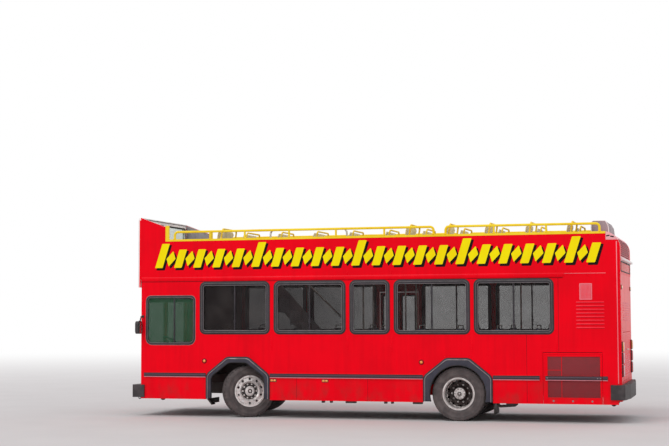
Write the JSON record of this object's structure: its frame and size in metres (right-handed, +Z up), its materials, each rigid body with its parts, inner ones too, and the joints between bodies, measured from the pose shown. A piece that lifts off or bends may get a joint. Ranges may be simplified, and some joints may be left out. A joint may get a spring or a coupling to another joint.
{
  "type": "open top double deck bus",
  "caption": "Red open top double deck sightseeing bus on a transit bus body, with yellow deck rails, steered front wheels, twin rear wheels and hinged doors",
  "frame": {"origin": "on the ground and the middle plane, 4.72 m behind the front wall's face, 4.895 m behind the front bumper's face and 4.795 m ahead of the rear bumper's, so 50 mm from the overall box's middle", "axes": "+X to the front, +Y to the vehicle's left, +Z up"},
  "size_m": [9.69, 2.85, 3.93],
  "materials": {
    "body_red": "gloss paint",
    "board_white": "gloss paint",
    "rail_yellow": "gloss paint",
    "trim_rubber": "matt, weathered",
    "bumper_black": "matt",
    "frame_black": "matt",
    "glass": "tinted",
    "tyre": "worn black",
    "rim_alloy": "machined",
    "rim_steel": "dull",
    "chassis": "matt paint",
    "iron": "oily",
    "deck_boards": "painted, non-slip",
    "seat_shell": "moulded",
    "seat_fabric": "woven",
    "lining": "moulded",
    "dark_panel": "matt",
    "pale_steel": "satin",
    "lens": "clear"
  },
  "bodies": {
    "bus_body": {"chassis_rails": "chassis", "cross_members": "chassis", "front_axle": "iron", "rear_axle": "iron", "air_springs": "trim_rubber", "engine": "iron", "fuel_tank": "chassis", "exhaust": "rim_steel", "lower_floor": "deck_boards", "wheel_boxes": "lining", "door_steps": "rim_steel", "side_panel_left": "body_red", "skirt_left": "body_red", "side_panel_right": "body_red", "skirt_right": "body_red", "arch_trims": "trim_rubber", "rub_rails": "trim_rubber", "front_mask": "body_red", "rear_wall": "body_red", "rear_cap": "body_red", "bumpers": "bumper_black", "window_frames": "frame_black", "glazing": "glass", "deck_floor": "deck_boards", "upper_side_left": "body_red", "upper_side_right": "body_red", "front_board": "board_white", "deck_rails": "rail_yellow", "upper_seat_shells": "seat_shell", "upper_seat_hoops": "rail_yellow", "upper_seat_legs": "chassis", "lower_seat_pads": "seat_fabric", "lower_seat_frames": "lining", "driver_seat": "dark_panel", "dashboard": "dark_panel", "steering_wheel": "dark_panel", "stairs": "pale_steel", "partition": "dark_panel", "grab_rails": "pale_steel", "mirrors": "bumper_black", "lamps": "lens"},
    "knuckle_left": {"knuckle_left": "iron"},
    "knuckle_right": {"knuckle_right": "iron"},
    "tie_rod": {"tie_rod": "iron"},
    "wheel_front_left": {"tyre_front_left": "tyre", "rim_front_left": "rim_alloy"},
    "wheel_front_right": {"tyre_front_right": "tyre", "rim_front_right": "rim_alloy"},
    "wheels_rear_left": {"tyres_rear_left": "tyre", "rims_rear_left": "rim_steel"},
    "wheels_rear_right": {"tyres_rear_right": "tyre", "rims_rear_right": "rim_steel"},
    "radiator_door": {"radiator_door": "body_red"},
    "engine_door": {"engine_door": "body_red"},
    "front_door_leaf_a": {"front_door_leaf_a": "frame_black"},
    "front_door_leaf_b": {"front_door_leaf_b": "frame_black"},
    "rear_door_leaf_a": {"rear_door_leaf_a": "frame_black"},
    "rear_door_leaf_b": {"rear_door_leaf_b": "frame_black"}
  },
  "joints": [
    {"name": "steer_left", "type": "hinge", "parent": "bus_body", "child": "knuckle_left", "pos_m": [2.68, 0.74, 0.48], "axis": [0, 0, 1], "range_deg": [-78, 12]},
    {"name": "steer_right", "type": "hinge", "parent": "bus_body", "child": "knuckle_right", "pos_m": [2.68, -0.74, 0.48], "axis": [0, 0, 1], "range_deg": [-78, 12]},
    {"name": "tie_rod_pivot", "type": "hinge", "parent": "knuckle_left", "child": "tie_rod", "pos_m": [2.5175, 0.60466, 0.33], "axis": [0, 0, 1], "range_deg": [-12, 78]},
    {"name": "wheel_front_left_spin", "type": "hinge", "parent": "knuckle_left", "child": "wheel_front_left", "pos_m": [2.5275, 0.97483, 0.505], "axis": [-0.5446, 0.8387, 0], "continuous": true},
    {"name": "wheel_front_right_spin", "type": "hinge", "parent": "knuckle_right", "child": "wheel_front_right", "pos_m": [2.8325, -0.97483, 0.505], "axis": [-0.5446, 0.8387, 0], "continuous": true},
    {"name": "wheels_rear_left_spin", "type": "hinge", "parent": "bus_body", "child": "wheels_rear_left", "pos_m": [-1.68, 0.875, 0.505], "axis": [0, 1, 0], "continuous": true},
    {"name": "wheels_rear_right_spin", "type": "hinge", "parent": "bus_body", "child": "wheels_rear_right", "pos_m": [-1.68, -0.875, 0.505], "axis": [0, 1, 0], "continuous": true},
    {"name": "front_door_a_hinge", "type": "hinge", "parent": "bus_body", "child": "front_door_leaf_a", "pos_m": [4.479, -1.204, 1.4], "axis": [0, 0, 1], "range_deg": [0, 85]},
    {"name": "front_door_b_hinge", "type": "hinge", "parent": "bus_body", "child": "front_door_leaf_b", "pos_m": [3.461, -1.204, 1.4], "axis": [0, 0, -1], "range_deg": [0, 85]},
    {"name": "rear_door_a_hinge", "type": "hinge", "parent": "bus_body", "child": "rear_door_leaf_a", "pos_m": [0.399, -1.204, 1.4], "axis": [0, 0, 1], "range_deg": [0, 85]},
    {"name": "rear_door_b_hinge", "type": "hinge", "parent": "bus_body", "child": "rear_door_leaf_b", "pos_m": [-0.379, -1.204, 1.4], "axis": [0, 0, -1], "range_deg": [0, 85]},
    {"name": "radiator_door_hinge", "type": "hinge", "parent": "bus_body", "child": "radiator_door", "pos_m": [-3.8, 1.204, 1.264], "axis": [1, 0, 0], "range_deg": [0, 80]},
    {"name": "engine_door_hinge", "type": "hinge", "parent": "bus_body", "child": "engine_door", "pos_m": [-4.66, 0, 1.62], "axis": [0, 1, 0], "range_deg": [0, 80]}
  ],
  "couplings": [
    {"joint": "steer_right", "follows": "steer_left", "ratio": 1},
    {"joint": "tie_rod_pivot", "follows": "steer_left", "ratio": -1}
  ]
}
